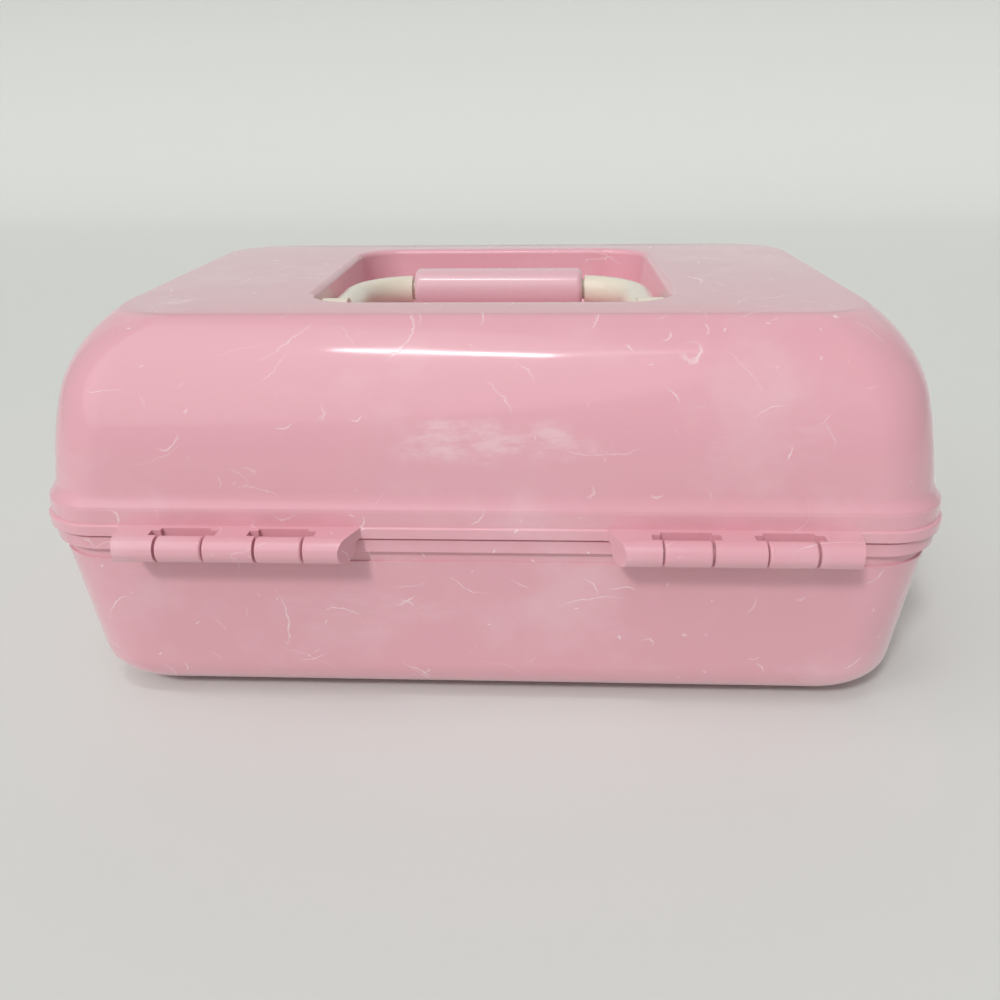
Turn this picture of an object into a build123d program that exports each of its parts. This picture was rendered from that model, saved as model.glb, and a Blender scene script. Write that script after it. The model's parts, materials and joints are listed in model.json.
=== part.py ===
"""Trunk-shaped make-up case with a recessed folding handle and two cantilever trays.

Frame: X along the case, front (latches) at -Y, rear (hinges) at +Y, Z up.
The origin lies under the middle of the case, in the plane of its foot ring. Millimetres.
"""

import os
from math import cos, radians, sin, sqrt, tan

from build123d import *

os.makedirs("parts", exist_ok=True)

# ---------------------------------------------------------------- driving sizes
case_length = 330.0
case_depth = 236.0
case_height = 148.0
parting_height = 74.4
parting_gap = 0.8
wall = 2.4
corner_radius = 25.0

# lower shell
foot_height = 3.0
foot_inset = 40.0
foot_width = 5.0
base_band_inset = 1.2
base_band_height = 5.1
base_step_inset = 3.6
base_step_height = 4.4
base_wall_inset = 3.0
base_lean = 5.2
base_edge_radius = 17.0
base_edge_steps = (0, 12, 24, 36, 48, 60, 71, 90 - base_lean)

# upper shell
lip_height = 5.0
band_inset = 0.9
band_height = 11.0
flare_height = 6.0
flare_steps = (0, 0.25, 0.5, 0.75, 1)
lid_wall_inset = 2.7
lid_side_lean = 9.0
lid_back_lean = 3.5
lid_side_radius = 40.0
lid_back_radius = 62.5
crease_angle = 58.0
shoulder_steps = (0, 0.2, 0.38, 0.54, 0.68, 0.8, 0.89, 0.96, 1)
tongue_depth = 2.0
tongue_thickness = 1.6
tongue_clearance = 0.5

# case hinge
hinge_setback = 8.5
hinge_rise = 0.5
barrel_radius = 4.6
apron_thickness = 3.6
apron_inner_root = 42.5
apron_inner_tip = 49.0
apron_outer_root = 130.0
apron_outer_tip = 127.5
window_near = 69.8
window_far = 104.6
window_width = 17.6
window_root_web = 1.4
notch_width = 3.0
notch_depth = 4.0
notch_offset = 1.8
knuckle_gap = 0.7
strap_drop = 0.5
hinge_peg_radius = 2.0
hinge_peg_length = 3.4
running_clearance = 0.05

# handle recess in the lid
recess_length = 140.0
recess_depth_y = 132.0
recess_centre_y = -2.0
recess_drop = 26.0
recess_corner = 20.0
recess_draft = 6.0
recess_floor_radius = 5.0
recess_lip_radius = 2.4

# handle
handle_pivot_y = 42.0
handle_drop = 10.5
handle_reach = 59.0
arm_span = 61.2
arm_radius = 6.2
arm_bend_radius = 27.0
eye_radius = 7.4
eye_clearance = 1.3
eye_overlap = 3.7
handle_peg_radius = 3.0
handle_peg_reach = 2.0
core_radius = 4.5
grip_length = 76.0
grip_radius = 9.3
grip_end_radius = 2.6
grip_end_gap = 1.2
grip_bore_clearance = 0.2

# front latches
latch_offset = 92.0
latch_width = 30.0
latch_standoff = 4.2
latch_rise = 13.5
latch_barrel_radius = 3.6
latch_plate = 3.2
latch_hook_height = 3.8
latch_finger = 5.0
latch_finger_lip = 2.0
latch_plate_foot = 1.0
latch_clearance = 0.3
latch_tip_clearance = 0.8
latch_release_angle = 12.0
latch_peg_radius = 1.9
latch_peg_length = 3.0
latch_ear_width = 4.0
latch_ear_radius = 4.4
latch_ear_gap = 0.5

# trays and their swing arms
tray_length = 289.0
tray_front_y = -92.0
tray_wall = 1.8
tray_corner = 9.0
tray_edge_radius = 3.0
lower_tray_bottom = 41.0
lower_tray_height = 21.0
lower_tray_back_y = 76.0
upper_tray_bottom = 64.0
upper_tray_height = 22.0
upper_tray_back_y = 55.0
lower_pivot = (63.0, 58.0)
upper_pivot = (29.0, 78.0)
base_pivot = (23.0, 66.4)
lid_screw_low = (92.0, 97.0)
lid_screw_high = (66.0, 109.0)
arm_thickness = 1.8
arm_edge = 6.0
arm_side_gap = 0.2
collar_height = 1.5
collar_radius = 4.0
base_boss_radius = 4.6
rivet_radius = 1.95
rivet_head_radius = 3.3
rivet_head = 1.1
screw_radius = 1.5
screw_depth = 5.0
divider_thickness = 1.4
divider_clearance = 0.3
divider_thumb_share = 1 / 3
guide_rib = 1.2
rail_y = -46.0
rail_thickness = 1.6
lipstick_pitch = 24.0

# mirror inside the lid
mirror_length = 196.0
mirror_depth = 116.0
mirror_thickness = 2.4
mirror_frame_edge = 5.0
mirror_back = 2.4
mirror_drop = 1.2
mirror_clearance = 0.3
mirror_clip_length = 16.0
mirror_clip_height = 1.6
mirror_clip_reach = 2.6
mirror_boss_radius = 4.0
mirror_screw_radius = 1.4

# ---------------------------------------------------------------- sizes that follow
half_depth = case_depth / 2
hinge_y = half_depth + hinge_setback
hinge_z = parting_height + hinge_rise
base_wall_top = parting_height - base_band_height - base_step_height
ledge_z = parting_height - base_band_height
lid_bottom = parting_height + parting_gap
band_top = parting_height + band_height
handle_z = case_height - handle_drop
recess_floor_z = case_height - recess_drop
tray_end = tray_length / 2
arm_inner_x = tray_end + collar_height + arm_side_gap
arm_outer_x = arm_inner_x + arm_thickness
boss_face_x = arm_outer_x + arm_side_gap
latch_y = -half_depth - latch_standoff
latch_z = parting_height + latch_rise
mirror_top = recess_floor_z - wall - mirror_drop


def shift(pivot):
    """Where the front arm carries a tray whose rear pivot is given: the same swing about the base pivot."""
    return (pivot[0] - hinge_y + base_pivot[0], pivot[1] - hinge_z + base_pivot[1])


lower_front_pivot = shift(lower_pivot)
upper_front_pivot = shift(upper_pivot)


# ---------------------------------------------------------------- outlines of the two shells
def plan_outline(z, inset_x, inset_y, radius):
    """A rounded rectangle at height z, set in from the case's overall plan."""
    with BuildSketch(Plane.XY.offset(z)) as outline:
        RectangleRounded(case_length - 2 * inset_x, case_depth - 2 * inset_y, radius)
    return outline.sketch


def base_inset(z, skin):
    """Inset of the lower shell's outer face, or of its inner face when skin is the wall."""
    arc = base_edge_radius - skin
    arc_top = foot_height + skin + arc * (1 - sin(radians(base_lean)))
    straight = base_wall_inset + skin + (base_wall_top - max(z, arc_top)) * tan(radians(base_lean))
    if z >= arc_top:
        return straight
    rise = 1 - (z - foot_height - skin) / arc
    return straight + arc * (cos(radians(base_lean)) - sqrt(max(0.0, 1 - rise * rise)))


def lid_inset(z, lean, radius, skin):
    """Inset of the upper shell's outer face, or of its inner face when skin is the wall."""
    arc = radius - skin
    arc_start = case_height - skin - arc * (sin(radians(crease_angle)) - sin(radians(lean)))
    straight = lid_wall_inset + skin + (min(z, arc_start) - band_top) * tan(radians(lean))
    if z <= arc_start:
        return straight
    rise = sin(radians(lean)) + (z - arc_start) / arc
    return straight + arc * (cos(radians(lean)) - sqrt(1 - rise * rise))


def base_body(skin, top):
    """The tapering tub with its rolled lower edge, lofted from the bottom up to base_wall_top."""
    arc = base_edge_radius - skin
    floor_z = foot_height + skin
    levels = [floor_z + arc * (1 - cos(radians(step))) for step in base_edge_steps] + [top]
    insets = [base_inset(z, skin) for z in levels]
    sections = [plan_outline(z, inset, inset, corner_radius - skin) for z, inset in zip(levels, insets)]
    loft(sections, ruled=True)


def lid_body(skin, bottom):
    """The leaning walls and the rolled shoulders that end in a crease at the flat top."""
    span = case_height - skin - bottom
    sections = []
    for share in shoulder_steps:
        z = bottom + span * share
        side = lid_inset(z, lid_side_lean, lid_side_radius, skin)
        back = lid_inset(z, lid_back_lean, lid_back_radius, skin)
        sections.append(plan_outline(z, side, back, corner_radius - skin))
    loft(sections, ruled=True)


def lid_flare():
    """The concave sweep by which the lid's wall runs out to its band."""
    sections = []
    for share in flare_steps:
        z = band_top + flare_height * share
        sweep_out = (lid_wall_inset - band_inset) * (1 - sin(radians(90 * share)))
        side = lid_inset(z, lid_side_lean, lid_side_radius, 0) - sweep_out
        back = lid_inset(z, lid_back_lean, lid_back_radius, 0) - sweep_out
        sections.append(plan_outline(z, side, back, corner_radius))
    loft(sections, ruled=True)


# ---------------------------------------------------------------- lower shell
with BuildPart() as base_block:
    base_body(0, base_wall_top)

with BuildPart() as base_cavity:
    inner_wall_inset = base_wall_inset + wall
    base_body(wall, base_wall_top)
    step_opening = plan_outline(base_wall_top, inner_wall_inset, inner_wall_inset, corner_radius - wall)
    extrude(step_opening, amount=base_step_height + wall)
    # the web that carries the band stays under the opening for the lid's tongue
    ledge_inset = base_band_inset + wall
    rim_opening = plan_outline(ledge_z + wall, ledge_inset, ledge_inset, corner_radius - wall)
    extrude(rim_opening, amount=base_band_height - wall)

with BuildPart() as front_arm_bosses:
    boss_end = case_length / 2 - base_wall_inset - wall / 2
    for side in (-1, 1):
        with BuildSketch(Plane.YZ.offset(side * boss_face_x)):
            with Locations(base_pivot):
                Circle(base_boss_radius)
        extrude(amount=side * (boss_end - boss_face_x))
        with BuildSketch(Plane.YZ.offset(side * boss_face_x)):
            with Locations(base_pivot):
                Circle(rivet_radius + running_clearance)
        extrude(amount=side * screw_depth, mode=Mode.SUBTRACT)

with BuildPart() as foot_ring:
    ring_length = case_length - 2 * foot_inset
    ring_depth = case_depth - 2 * foot_inset
    with BuildSketch():
        RectangleRounded(ring_length, ring_depth, corner_radius)
        offset(amount=-foot_width, mode=Mode.SUBTRACT)
    extrude(amount=foot_height + wall / 2)

with BuildPart() as hinge_knuckles:
    knuckle = window_width - 2 * knuckle_gap
    strap_bottom = hinge_z - barrel_radius
    for x in [side * centre for side in (-1, 1) for centre in (window_near, window_far)]:
        with BuildSketch(Plane.YZ.offset(x)):
            with Locations((hinge_y, hinge_z)):
                Circle(barrel_radius)
            with BuildLine():
                Polyline(
                    (hinge_y, strap_bottom),
                    (hinge_y, parting_height - strap_drop),
                    (half_depth - base_band_inset - wall / 2, parting_height - strap_drop),
                    (half_depth - base_band_inset - wall / 2, ledge_z),
                    (half_depth - base_step_inset - wall / 2, ledge_z),
                    (half_depth - base_step_inset - wall / 2, base_wall_top + base_step_height / 4),
                    (half_depth - base_step_inset, base_wall_top + base_step_height / 4),
                    close=True,
                )
            make_face()
        extrude(amount=knuckle / 2, both=True)
        with BuildSketch(Plane.YZ.offset(x)):
            with Locations((hinge_y, hinge_z)):
                Circle(hinge_peg_radius)
        extrude(amount=knuckle / 2 + hinge_peg_length, both=True)

with BuildPart() as lower_shell:
    add(base_block.part)
    step_outline = plan_outline(base_wall_top, base_step_inset, base_step_inset, corner_radius)
    extrude(step_outline, amount=base_step_height)
    band_outline = plan_outline(ledge_z, base_band_inset, base_band_inset, corner_radius)
    extrude(band_outline, amount=base_band_height)
    add(base_cavity.part, mode=Mode.SUBTRACT)
    add(foot_ring.part)
    add(hinge_knuckles.part)
    add(front_arm_bosses.part)
lower_shell.part.label = "lower_shell"
export_step(lower_shell.part, "parts/lower_shell.step")

# ---------------------------------------------------------------- upper shell
with BuildPart() as lid_block:
    lid_body(0, band_top)

with BuildPart() as lid_cavity:
    inner_inset = lid_wall_inset + wall
    lid_body(wall, band_top)
    rim_cavity = plan_outline(lid_bottom, inner_inset, inner_inset, corner_radius - wall)
    extrude(rim_cavity, amount=band_height - parting_gap)

with BuildPart() as recess_pocket:
    with BuildSketch(Plane.XY.offset(case_height)):
        with Locations((0, recess_centre_y)):
            RectangleRounded(recess_length, recess_depth_y, recess_corner)
    extrude(amount=-recess_drop, taper=recess_draft)
    fillet(recess_pocket.faces().sort_by(Axis.Z)[0].edges(), radius=recess_floor_radius)

with BuildPart() as recess_tub:
    with BuildSketch(Plane.XY.offset(case_height - wall / 2)):
        with Locations((0, recess_centre_y)):
            RectangleRounded(recess_length + 2 * wall, recess_depth_y + 2 * wall, recess_corner + wall)
    extrude(amount=-recess_drop - wall / 2, taper=recess_draft)
    fillet(recess_tub.faces().sort_by(Axis.Z)[0].edges(), radius=recess_floor_radius + wall)

mirror_boss_pitch_x = mirror_length + 2 * mirror_frame_edge - 4 * mirror_boss_radius
mirror_boss_pitch_y = mirror_depth + 2 * mirror_frame_edge + 2 * mirror_boss_radius

with BuildPart() as lid_bosses:
    # screw bosses for the rear swing arms
    for side in (-1, 1):
        with BuildSketch(Plane.YZ.offset(side * boss_face_x)):
            with Locations(lid_screw_low, lid_screw_high):
                Circle(base_boss_radius)
        extrude(amount=side * (case_length / 2 - boss_face_x))
        with BuildSketch(Plane.YZ.offset(side * boss_face_x)):
            with Locations(lid_screw_low, lid_screw_high):
                Circle(screw_radius + running_clearance)
        extrude(amount=side * screw_depth, mode=Mode.SUBTRACT)
    # bosses for the mirror frame
    with BuildSketch(Plane.XY.offset(mirror_top)):
        with Locations((0, recess_centre_y)):
            with GridLocations(mirror_boss_pitch_x, mirror_boss_pitch_y, 2, 2):
                Circle(mirror_boss_radius)
    extrude(amount=case_height - mirror_top)
    with BuildSketch(Plane.XY.offset(mirror_top)):
        with Locations((0, recess_centre_y)):
            with GridLocations(mirror_boss_pitch_x, mirror_boss_pitch_y, 2, 2):
                Circle(mirror_screw_radius + running_clearance)
    extrude(amount=screw_depth, mode=Mode.SUBTRACT)
    add(lid_block.part, mode=Mode.INTERSECT)

with BuildPart() as rim_tongue:
    tongue_outer = base_band_inset + wall + tongue_clearance
    tongue_inner = tongue_outer + tongue_thickness
    tongue_corner = corner_radius - wall - tongue_clearance
    root_outer = inner_inset - wall / 2
    tongue_tip = parting_height - tongue_depth
    tongue_root = lid_bottom + tongue_depth
    root = plan_outline(lid_bottom, root_outer, root_outer, corner_radius - wall / 2)
    extrude(root, amount=tongue_root - lid_bottom)
    rib = plan_outline(tongue_tip, tongue_outer, tongue_outer, tongue_corner)
    extrude(rib, amount=tongue_root - tongue_tip)
    opening = plan_outline(tongue_tip, tongue_inner, tongue_inner, tongue_corner - tongue_thickness)
    extrude(opening, amount=tongue_root - tongue_tip, mode=Mode.SUBTRACT)


def apron(side):
    """One hinge apron: a slab rolled into the barrel, trapezoidal in plan, with two T-shaped windows."""
    root_y = half_depth - band_inset - wall / 2
    tip_y = hinge_y + barrel_radius
    socket = window_width / 2 + hinge_peg_length + 2 * running_clearance
    with BuildPart() as block:
        with BuildSketch(Plane.YZ):
            with Locations((hinge_y, hinge_z)):
                Circle(barrel_radius)
            with Locations((hinge_y, hinge_z + barrel_radius)):
                Rectangle(hinge_y - root_y, apron_thickness, align=(Align.MAX, Align.MAX))
        extrude(amount=side * case_length / 2)
        with BuildSketch(Plane.XY.offset(hinge_z - barrel_radius)):
            with BuildLine():
                Polyline(
                    (side * apron_inner_root, root_y),
                    (side * apron_outer_root, root_y),
                    (side * apron_outer_root, half_depth),
                    (side * apron_outer_tip, tip_y),
                    (side * apron_inner_tip, tip_y),
                    (side * apron_inner_root, half_depth),
                    close=True,
                )
            make_face()
        extrude(amount=2 * barrel_radius, mode=Mode.INTERSECT)
        with BuildSketch(Plane.XY.offset(hinge_z - barrel_radius)):
            window_y = half_depth + window_root_web
            for x in (window_near, window_far):
                with Locations((side * x, window_y)):
                    Rectangle(window_width, 3 * barrel_radius, align=(Align.CENTER, Align.MIN))
                with Locations((side * x, window_y + notch_offset)):
                    Rectangle(
                        window_width + 2 * notch_width,
                        notch_depth,
                        align=(Align.CENTER, Align.MIN),
                    )
        extrude(amount=2 * barrel_radius, mode=Mode.SUBTRACT)
        for x in (window_near, window_far):
            with BuildSketch(Plane.YZ.offset(side * x)):
                with Locations((hinge_y, hinge_z)):
                    Circle(hinge_peg_radius + running_clearance)
            extrude(amount=socket, both=True, mode=Mode.SUBTRACT)
    return block.part


def latch_ears(side):
    """The pair of lugs on the lid's front wall that hold one latch."""
    ear_centre = latch_width / 2 + latch_ear_gap + latch_ear_width / 2
    with BuildPart() as ears:
        for offset_x in (-ear_centre, ear_centre):
            with BuildSketch(Plane.YZ.offset(side * latch_offset + offset_x)):
                with Locations((latch_y, latch_z)):
                    Circle(latch_ear_radius)
                with Locations((-half_depth + lid_wall_inset + wall / 2, latch_z)):
                    Rectangle(wall, 3 * latch_ear_radius)
                make_hull()
                with Locations((latch_y, latch_z)):
                    Circle(latch_peg_radius + running_clearance, mode=Mode.SUBTRACT)
            extrude(amount=latch_ear_width / 2, both=True)
    return ears.part


aprons = [apron(side) for side in (-1, 1)]
lugs = [latch_ears(side) for side in (-1, 1)]

with BuildPart() as upper_shell:
    add(lid_block.part)
    # rim: the wall flares out to a stepped band above a fuller lip
    lid_flare()
    extrude(plan_outline(lid_bottom, band_inset, band_inset, corner_radius), amount=band_height - parting_gap)
    extrude(plan_outline(lid_bottom, 0, 0, corner_radius), amount=lip_height - parting_gap)
    add(lid_cavity.part, mode=Mode.SUBTRACT)
    add(rim_tongue.part)
    add(aprons)
    add(lugs)
    # handle recess
    add(recess_tub.part)
    add(recess_pocket.part, mode=Mode.SUBTRACT)
    recess_mouth = upper_shell.faces().sort_by(Axis.Z)[-1].inner_wires()[0]
    fillet(recess_mouth.edges(), radius=recess_lip_radius)
    add(lid_bosses.part)
    # pivot holes for the handle's pegs, through the recess's side walls
    with BuildSketch(Plane.YZ):
        with Locations((handle_pivot_y, handle_z)):
            Circle(handle_peg_radius + running_clearance)
    extrude(amount=recess_length / 2 + 2 * wall, both=True, mode=Mode.SUBTRACT)
upper_shell.part.label = "upper_shell"
export_step(upper_shell.part, "parts/upper_shell.step")

# ---------------------------------------------------------------- handle
eye_outer_x = recess_length / 2 - handle_drop * tan(radians(recess_draft)) - eye_clearance

with BuildPart() as handle_bail:
    grip_y = handle_pivot_y - handle_reach
    with BuildLine():
        FilletPolyline(
            (arm_span, handle_pivot_y, handle_z),
            (arm_span, grip_y, handle_z),
            (-arm_span, grip_y, handle_z),
            (-arm_span, handle_pivot_y, handle_z),
            radius=arm_bend_radius,
        )
    with BuildSketch(Plane(origin=(arm_span, handle_pivot_y, handle_z), z_dir=(0, -1, 0))):
        Circle(arm_radius)
    sweep()
    # the grip turns the bar down to a plain core
    with BuildSketch(Plane(origin=(0, grip_y, handle_z), z_dir=(1, 0, 0))):
        Circle(2 * arm_radius)
        Circle(core_radius, mode=Mode.SUBTRACT)
    extrude(amount=grip_length / 2 + grip_end_gap, both=True, mode=Mode.SUBTRACT)
    # eyes and their pegs
    for side in (-1, 1):
        eye_inner = side * (arm_span - eye_overlap)
        with BuildSketch(Plane.YZ.offset(eye_inner)):
            with Locations((handle_pivot_y, handle_z)):
                Circle(eye_radius)
        extrude(amount=side * (eye_outer_x - abs(eye_inner)))
        with BuildSketch(Plane.YZ.offset(side * eye_outer_x)):
            with Locations((handle_pivot_y, handle_z)):
                Circle(handle_peg_radius)
        extrude(amount=side * (eye_clearance + wall + handle_peg_reach))
handle_bail.part.label = "handle_bail"
export_step(handle_bail.part, "parts/handle_bail.step")


def grip_half(name, keep):
    """One half of the hand grip, split along the handle's own plane."""
    with BuildPart() as half:
        with BuildSketch(Plane(origin=(-grip_length / 2, grip_y, handle_z), z_dir=(1, 0, 0))):
            Circle(grip_radius)
        extrude(amount=grip_length)
        fillet(half.edges().filter_by(GeomType.CIRCLE), radius=grip_end_radius)
        with BuildSketch(Plane(origin=(0, grip_y, handle_z), z_dir=(1, 0, 0))):
            Circle(core_radius + grip_bore_clearance)
        extrude(amount=grip_length, both=True, mode=Mode.SUBTRACT)
        split(bisect_by=Plane.XY.offset(handle_z), keep=keep)
    half.part.label = name
    export_step(half.part, f"parts/{name}.step")


grip_half("grip_upper_half", Keep.TOP)
grip_half("grip_lower_half", Keep.BOTTOM)


# ---------------------------------------------------------------- front latches
def front_latch(name, side):
    """A hanging latch, drawn closed and turned out to its released rest position."""
    hook_top = ledge_z - latch_clearance - latch_z
    hook_tip = base_step_inset - half_depth - latch_tip_clearance - latch_y
    plate_back = latch_plate
    lowest = hook_top - latch_hook_height
    release = radians(latch_release_angle)
    turned = Plane(
        origin=(side * latch_offset, latch_y, latch_z),
        x_dir=(0, cos(release), -sin(release)),
        z_dir=(1, 0, 0),
    )
    with BuildPart() as latch:
        with BuildSketch(turned) as outline:
            with BuildLine():
                Polyline(
                    (plate_back, 0),
                    (plate_back, hook_top),
                    (hook_tip, hook_top),
                    (hook_tip, hook_top - latch_hook_height / 2),
                    (plate_back, lowest - latch_plate_foot),
                    (0, lowest - latch_plate_foot),
                    (-latch_finger, lowest - latch_finger),
                    (-latch_finger, lowest - latch_finger + latch_finger_lip),
                    (0, lowest + latch_finger),
                    (0, 0),
                    close=True,
                )
            make_face()
            Circle(latch_barrel_radius)
        extrude(amount=latch_width / 2, both=True)
        with BuildSketch(turned):
            Circle(latch_peg_radius)
        extrude(amount=latch_width / 2 + latch_ear_gap + latch_peg_length, both=True)
    latch.part.label = name
    export_step(latch.part, f"parts/{name}.step")


front_latch("latch_left", 1)
front_latch("latch_right", -1)


# ---------------------------------------------------------------- trays
def tray_shell(bottom, height, back_y, rear_pivot, front_pivot):
    """An open tray with rivet holes in its end walls and a rail along it."""
    depth = back_y - tray_front_y
    centre_y = (back_y + tray_front_y) / 2
    with BuildPart() as tray:
        with BuildSketch(Plane.XY.offset(bottom)):
            with Locations((0, centre_y)):
                RectangleRounded(tray_length, depth, tray_corner)
        extrude(amount=height)
        fillet(tray.faces().sort_by(Axis.Z)[0].edges(), radius=tray_edge_radius)
        with BuildSketch(Plane.XY.offset(bottom + tray_wall)):
            with Locations((0, centre_y)):
                RectangleRounded(tray_length - 2 * tray_wall, depth - 2 * tray_wall, tray_corner - tray_wall)
        extrude(amount=height, mode=Mode.SUBTRACT)
        # rivet holes through the end walls
        with BuildSketch(Plane.YZ):
            with Locations(rear_pivot, front_pivot):
                Circle(rivet_radius + running_clearance)
        extrude(amount=tray_length, both=True, mode=Mode.SUBTRACT)
        # rail that parts the front row from the rear row
        with BuildSketch(Plane.XY.offset(bottom + tray_wall)):
            with Locations((0, rail_y)):
                Rectangle(tray_length - 2 * tray_wall, rail_thickness)
        extrude(amount=height - 2 * tray_wall)
    return tray.part


def cross_walls(xs, y_low, y_high, bottom, height, thickness):
    """Upright walls across a row of a tray."""
    with BuildPart() as walls:
        with BuildSketch(Plane.XY.offset(bottom)):
            with Locations([(x, (y_low + y_high) / 2) for x in xs]):
                Rectangle(thickness, y_high - y_low)
        extrude(amount=height)
    return walls.part


def guide_ribs(xs, y_low, y_high, bottom, height):
    """Pairs of short ribs on a tray's walls that hold a loose divider between them."""
    spread = divider_thickness / 2 + divider_clearance + guide_rib / 2
    with BuildPart() as ribs:
        with BuildSketch(Plane.XY.offset(bottom)):
            for x in xs:
                for y, edge in ((y_low, Align.MIN), (y_high, Align.MAX)):
                    with Locations((x - spread, y), (x + spread, y)):
                        Rectangle(guide_rib, 2 * guide_rib, align=(Align.CENTER, edge))
        extrude(amount=height)
    return ribs.part


row_front = tray_front_y + tray_wall
rail_back = rail_y + rail_thickness / 2
rail_front = rail_y - rail_thickness / 2
rib_root = tray_wall / 2
lower_divider_xs = (-72.0, 0.0, 72.0)
upper_divider_xs = (-96.0, -32.0, 32.0, 96.0)
lower_wall_xs = (-48.0, 48.0)

with BuildPart() as lower_tray:
    add(tray_shell(lower_tray_bottom, lower_tray_height, lower_tray_back_y, lower_pivot, lower_front_pivot))
    floor_z = lower_tray_bottom + tray_wall / 2
    inner_height = lower_tray_height - 1.5 * tray_wall
    row_back = lower_tray_back_y - tray_wall
    add(cross_walls(lower_wall_xs, row_front - rib_root, rail_front, floor_z, inner_height, rail_thickness))
    add(guide_ribs(lower_divider_xs, rail_back - rib_root, row_back + rib_root, floor_z, inner_height))
lower_tray.part.label = "lower_tray"
export_step(lower_tray.part, "parts/lower_tray.step")

with BuildPart() as upper_tray:
    add(tray_shell(upper_tray_bottom, upper_tray_height, upper_tray_back_y, upper_pivot, upper_front_pivot))
    floor_z = upper_tray_bottom + tray_wall / 2
    inner_height = upper_tray_height - 1.5 * tray_wall
    row_back = upper_tray_back_y - tray_wall
    lipstick_count = int((tray_length / 2 - 2 * tray_wall) // lipstick_pitch)
    lipstick_xs = [lipstick_pitch * step for step in range(-lipstick_count + 1, lipstick_count)]
    add(cross_walls(lipstick_xs, row_front - rib_root, rail_front, floor_z, inner_height, rail_thickness))
    add(guide_ribs(upper_divider_xs, rail_back - rib_root, row_back + rib_root, floor_z, inner_height))
upper_tray.part.label = "upper_tray"
export_step(upper_tray.part, "parts/upper_tray.step")


def loose_dividers(name, xs, bottom, height, back_y):
    """The lift-out dividers of one tray, each standing between its guide ribs."""
    low = rail_back + divider_clearance
    high = back_y - tray_wall - divider_clearance
    with BuildPart() as dividers:
        with BuildSketch(Plane.XY.offset(bottom + tray_wall)):
            with Locations([(x, (low + high) / 2) for x in xs]):
                Rectangle(divider_thickness, high - low)
        extrude(amount=height - 2 * tray_wall)
        thumb_z = bottom + height - tray_wall
        with BuildSketch(Plane.YZ):
            with Locations(((low + high) / 2, thumb_z)):
                Circle(height * divider_thumb_share)
        extrude(amount=case_length / 2, both=True, mode=Mode.SUBTRACT)
    dividers.part.label = name
    export_step(dividers.part, f"parts/{name}.step")


loose_dividers(
    "lower_tray_dividers", lower_divider_xs, lower_tray_bottom, lower_tray_height, lower_tray_back_y
)
loose_dividers(
    "upper_tray_dividers", upper_divider_xs, upper_tray_bottom, upper_tray_height, upper_tray_back_y
)


# ---------------------------------------------------------------- swing arms and their rivets
def swing_arm(name, side, pivots, screws):
    """A flat steel arm: the hull of its ends, with a running hole at each pivot."""
    with BuildPart() as arm:
        with BuildSketch(Plane.YZ.offset(side * arm_inner_x)):
            with Locations(pivots + screws):
                Circle(arm_edge)
            make_hull()
            with Locations(pivots):
                Circle(rivet_radius + running_clearance, mode=Mode.SUBTRACT)
            if screws:
                with Locations(screws):
                    Circle(screw_radius + running_clearance, mode=Mode.SUBTRACT)
        extrude(amount=side * arm_thickness)
    arm.part.label = name
    export_step(arm.part, f"parts/{name}.step")


for side, end in ((1, "left"), (-1, "right")):
    swing_arm(f"front_arm_{end}", side, [base_pivot, lower_front_pivot, upper_front_pivot], [])
    swing_arm(f"rear_arm_{end}", side, [lower_pivot, upper_pivot], [lid_screw_low, lid_screw_high])


def tray_rivets(name, pivots):
    """Rivets through the arms and the tray's end walls, with a collar that spaces the two apart."""
    inside_x = tray_end - tray_wall - arm_side_gap
    with BuildPart() as rivets:
        for side in (-1, 1):
            with BuildSketch(Plane.YZ.offset(side * (inside_x - rivet_head))):
                with Locations(pivots):
                    Circle(rivet_head_radius)
            extrude(amount=side * rivet_head)
            with BuildSketch(Plane.YZ.offset(side * inside_x)):
                with Locations(pivots):
                    Circle(rivet_radius)
            extrude(amount=side * (boss_face_x - inside_x))
            with BuildSketch(Plane.YZ.offset(side * tray_end)):
                with Locations(pivots):
                    Circle(collar_radius)
            extrude(amount=side * collar_height)
            with BuildSketch(Plane.YZ.offset(side * boss_face_x)):
                with Locations(pivots):
                    Circle(rivet_head_radius)
            extrude(amount=side * rivet_head)
    rivets.part.label = name
    export_step(rivets.part, f"parts/{name}.step")


tray_rivets("lower_tray_rivets", [lower_pivot, lower_front_pivot])
tray_rivets("upper_tray_rivets", [upper_pivot, upper_front_pivot])


def boss_screws(name, centres, shank_radius, head_radius):
    """Screws from inside the case, through the arms and into the bosses of a shell."""
    head_x = arm_inner_x - arm_side_gap
    with BuildPart() as screws:
        for side in (-1, 1):
            with BuildSketch(Plane.YZ.offset(side * head_x)):
                with Locations(centres):
                    Circle(head_radius)
            extrude(amount=-side * rivet_head)
            with BuildSketch(Plane.YZ.offset(side * head_x)):
                with Locations(centres):
                    Circle(shank_radius)
            extrude(amount=side * (boss_face_x - head_x + screw_depth - arm_side_gap))
    screws.part.label = name
    export_step(screws.part, f"parts/{name}.step")


boss_screws("front_arm_studs", [base_pivot], rivet_radius, rivet_head_radius)
boss_screws("rear_arm_screws", [lid_screw_low, lid_screw_high], screw_radius, rivet_head_radius)

# ---------------------------------------------------------------- mirror in the lid
frame_length = mirror_length + 2 * mirror_frame_edge
frame_depth = mirror_depth + 2 * mirror_frame_edge
glass_top = mirror_top - mirror_back
glass_bottom = glass_top - mirror_thickness

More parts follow.
